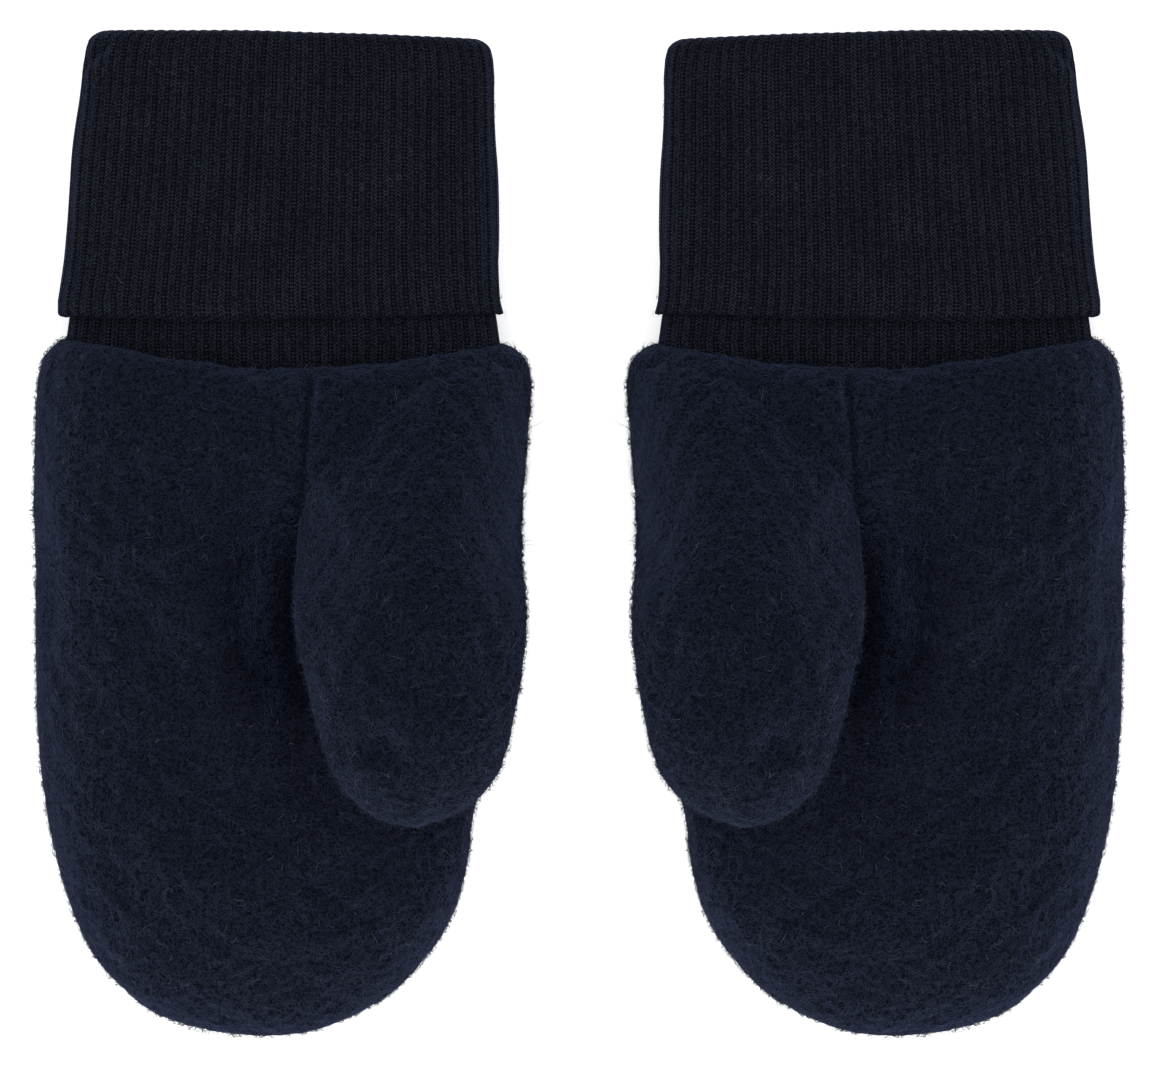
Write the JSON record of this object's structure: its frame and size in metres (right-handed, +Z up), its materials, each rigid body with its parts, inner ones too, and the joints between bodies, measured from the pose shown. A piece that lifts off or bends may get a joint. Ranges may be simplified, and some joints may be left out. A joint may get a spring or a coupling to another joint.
{
  "type": "pair of mittens",
  "caption": "Pair of child's brushed wool fleece mittens lying palm up, thumbs on the palms, with long rib-knit cuffs turned down.",
  "frame": {"origin": "on the table under the middle of the pair's bounding box", "axes": "+X across the pair towards the right-hand mitten, +Y from the fingertips towards the cuffs, +Z up from the backs of the hands towards the palms and thumbs"},
  "size_m": [0.2076, 0.191, 0.0312],
  "materials": {
    "wool_fleece": "brushed matted wool fleece, dark navy",
    "rib_knit": "fine rib knit, dark navy, matt",
    "seam_thread": "sewn seam, dark navy thread",
    "lining_jersey": "smooth cotton jersey, navy"
  },
  "bodies": {
    "left_mitten": {"left_back_panel": "wool_fleece", "left_palm_panel": "wool_fleece", "left_thumb_base": "wool_fleece", "left_hand_seam": "seam_thread", "left_palm_thumb_seam": "seam_thread", "left_cuff_seam": "seam_thread", "left_cuff_stem": "rib_knit", "left_hand_lining": "lining_jersey"},
    "left_thumb": {"left_thumb_front": "wool_fleece", "left_thumb_back": "wool_fleece", "left_thumb_seam": "seam_thread", "left_thumb_lining": "lining_jersey"},
    "left_cuff_turnback": {"left_cuff_turnback": "rib_knit"},
    "right_mitten": {"right_back_panel": "wool_fleece", "right_palm_panel": "wool_fleece", "right_thumb_base": "wool_fleece", "right_hand_seam": "seam_thread", "right_palm_thumb_seam": "seam_thread", "right_cuff_seam": "seam_thread", "right_cuff_stem": "rib_knit", "right_hand_lining": "lining_jersey"},
    "right_thumb": {"right_thumb_front": "wool_fleece", "right_thumb_back": "wool_fleece", "right_thumb_seam": "seam_thread", "right_thumb_lining": "lining_jersey"},
    "right_cuff_turnback": {"right_cuff_turnback": "rib_knit"}
  },
  "joints": [
    {"name": "left_thumb_fold", "type": "hinge", "parent": "left_mitten", "child": "left_thumb", "pos_m": [-0.0315, -0.0096, 0.0315], "axis": [-0.95, 0.3123, 0], "range_deg": [0, 85]},
    {"name": "left_cuff_unroll", "type": "slide", "parent": "left_mitten", "child": "left_cuff_turnback", "axis": [0, 1, 0], "range_m": [0, 0.05]},
    {"name": "right_mitten_apart", "type": "slide", "parent": "left_mitten", "child": "right_mitten", "axis": [1, 0, 0], "range_m": [0, 0.06]},
    {"name": "right_thumb_fold", "type": "hinge", "parent": "right_mitten", "child": "right_thumb", "pos_m": [0.0315, -0.0096, 0.0315], "axis": [-0.95, -0.3123, 0], "range_deg": [0, 85]},
    {"name": "right_cuff_unroll", "type": "slide", "parent": "right_mitten", "child": "right_cuff_turnback", "axis": [0, 1, 0], "range_m": [0, 0.05]}
  ]
}
